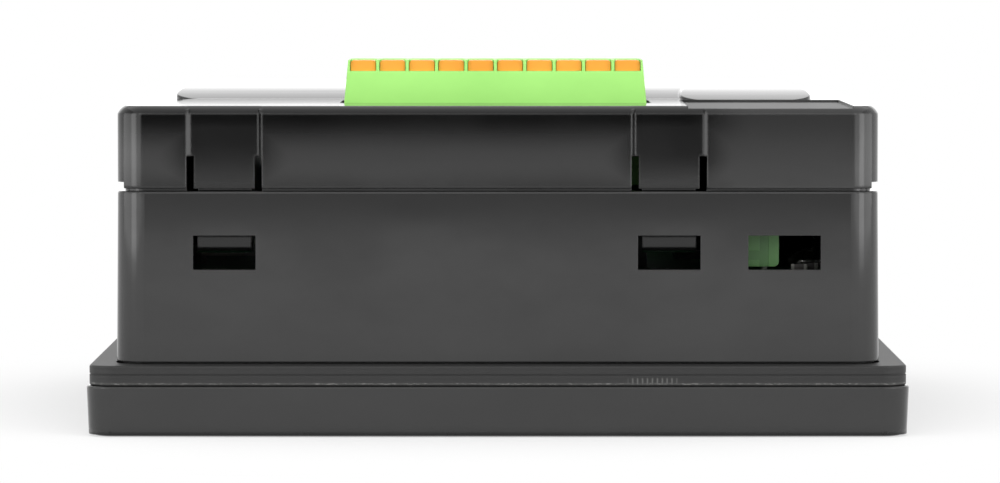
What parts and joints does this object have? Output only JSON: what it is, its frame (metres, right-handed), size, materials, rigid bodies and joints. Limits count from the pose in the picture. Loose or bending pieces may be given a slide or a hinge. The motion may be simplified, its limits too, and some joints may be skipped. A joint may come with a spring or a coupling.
{
  "type": "panel mount programmable logic controller",
  "caption": "Square panel-mounted logic controller with a display in its front frame, a snapped rear cover and a green plug of push-in terminals.",
  "frame": {"origin": "middle of the front frame's front face, which the controller lies on in the picture", "axes": "+Z from the front up to the rear cover, +X to the right and +Y away from the side wall with the three windows; the plug stands near that wall"},
  "size_m": [0.096, 0.096, 0.0435],
  "materials": {
    "front_plastic": "fine texture",
    "overlay_film": "satin film",
    "window_glass": "gloss",
    "display_glass": "gloss",
    "diffuser": "matte",
    "sheet_metal": "bright",
    "foam": "matte",
    "gasket_rubber": "matte",
    "housing_plastic": "satin",
    "board_laminate": "solder mask",
    "brass_parts": "plain",
    "ribbon_film": "film",
    "black_moulding": "matte",
    "ceramic": "matte",
    "capacitor_sleeve": "gloss",
    "ferrite": "matte",
    "relay_case": "satin",
    "header_green": "satin",
    "tinned_metal": "plain",
    "plug_green": "satin",
    "spring_steel": "bright",
    "button_orange": "satin"
  },
  "bodies": {
    "controller": {"front_frame": "front_plastic", "front_overlay": "overlay_film", "display_window": "window_glass", "display_cell": "display_glass", "display_backlight": "diffuser", "display_tray": "sheet_metal", "display_pad": "foam", "panel_gasket": "gasket_rubber", "housing": "housing_plastic", "rear_cover": "housing_plastic", "frame_screws": "sheet_metal", "main_board": "board_laminate", "io_board": "board_laminate", "board_spacers": "brass_parts", "board_screws": "sheet_metal", "display_ribbon": "ribbon_film", "board_link": "black_moulding", "processor": "black_moulding", "memory_chips": "black_moulding", "backup_battery": "sheet_metal", "battery_clip": "sheet_metal", "signal_parts": "ceramic", "filter_capacitors": "capacitor_sleeve", "power_inductor": "ferrite", "output_relays": "relay_case", "supply_board": "board_laminate", "supply_board_pins": "tinned_metal", "network_jack": "black_moulding", "jack_shield": "sheet_metal", "jack_contacts": "brass_parts", "supply_header": "header_green", "supply_pins": "tinned_metal", "plug_header": "header_green", "header_pins": "tinned_metal", "plug_body": "plug_green", "plug_contacts": "brass_parts", "clamp_spring_01": "spring_steel", "clamp_spring_02": "spring_steel", "clamp_spring_03": "spring_steel", "clamp_spring_04": "spring_steel", "clamp_spring_05": "spring_steel", "clamp_spring_06": "spring_steel", "clamp_spring_07": "spring_steel", "clamp_spring_08": "spring_steel", "clamp_spring_09": "spring_steel", "clamp_spring_10": "spring_steel"},
    "release_button_01": {"release_button_01": "button_orange"},
    "release_button_02": {"release_button_02": "button_orange"},
    "release_button_03": {"release_button_03": "button_orange"},
    "release_button_04": {"release_button_04": "button_orange"},
    "release_button_05": {"release_button_05": "button_orange"},
    "release_button_06": {"release_button_06": "button_orange"},
    "release_button_07": {"release_button_07": "button_orange"},
    "release_button_08": {"release_button_08": "button_orange"},
    "release_button_09": {"release_button_09": "button_orange"},
    "release_button_10": {"release_button_10": "button_orange"}
  },
  "joints": [
    {"name": "press_01", "type": "slide", "parent": "controller", "child": "release_button_01", "axis": [0, 0, -1], "range_m": [0, 0.0012], "stiffness_N_per_m": 1500, "springref_m": -0.0005, "deforming": ["clamp_spring_01"]},
    {"name": "press_02", "type": "slide", "parent": "controller", "child": "release_button_02", "axis": [0, 0, -1], "range_m": [0, 0.0012], "stiffness_N_per_m": 1500, "springref_m": -0.0005, "deforming": ["clamp_spring_02"]},
    {"name": "press_03", "type": "slide", "parent": "controller", "child": "release_button_03", "axis": [0, 0, -1], "range_m": [0, 0.0012], "stiffness_N_per_m": 1500, "springref_m": -0.0005, "deforming": ["clamp_spring_03"]},
    {"name": "press_04", "type": "slide", "parent": "controller", "child": "release_button_04", "axis": [0, 0, -1], "range_m": [0, 0.0012], "stiffness_N_per_m": 1500, "springref_m": -0.0005, "deforming": ["clamp_spring_04"]},
    {"name": "press_05", "type": "slide", "parent": "controller", "child": "release_button_05", "axis": [0, 0, -1], "range_m": [0, 0.0012], "stiffness_N_per_m": 1500, "springref_m": -0.0005, "deforming": ["clamp_spring_05"]},
    {"name": "press_06", "type": "slide", "parent": "controller", "child": "release_button_06", "axis": [0, 0, -1], "range_m": [0, 0.0012], "stiffness_N_per_m": 1500, "springref_m": -0.0005, "deforming": ["clamp_spring_06"]},
    {"name": "press_07", "type": "slide", "parent": "controller", "child": "release_button_07", "axis": [0, 0, -1], "range_m": [0, 0.0012], "stiffness_N_per_m": 1500, "springref_m": -0.0005, "deforming": ["clamp_spring_07"]},
    {"name": "press_08", "type": "slide", "parent": "controller", "child": "release_button_08", "axis": [0, 0, -1], "range_m": [0, 0.0012], "stiffness_N_per_m": 1500, "springref_m": -0.0005, "deforming": ["clamp_spring_08"]},
    {"name": "press_09", "type": "slide", "parent": "controller", "child": "release_button_09", "axis": [0, 0, -1], "range_m": [0, 0.0012], "stiffness_N_per_m": 1500, "springref_m": -0.0005, "deforming": ["clamp_spring_09"]},
    {"name": "press_10", "type": "slide", "parent": "controller", "child": "release_button_10", "axis": [0, 0, -1], "range_m": [0, 0.0012], "stiffness_N_per_m": 1500, "springref_m": -0.0005, "deforming": ["clamp_spring_10"]}
  ]
}
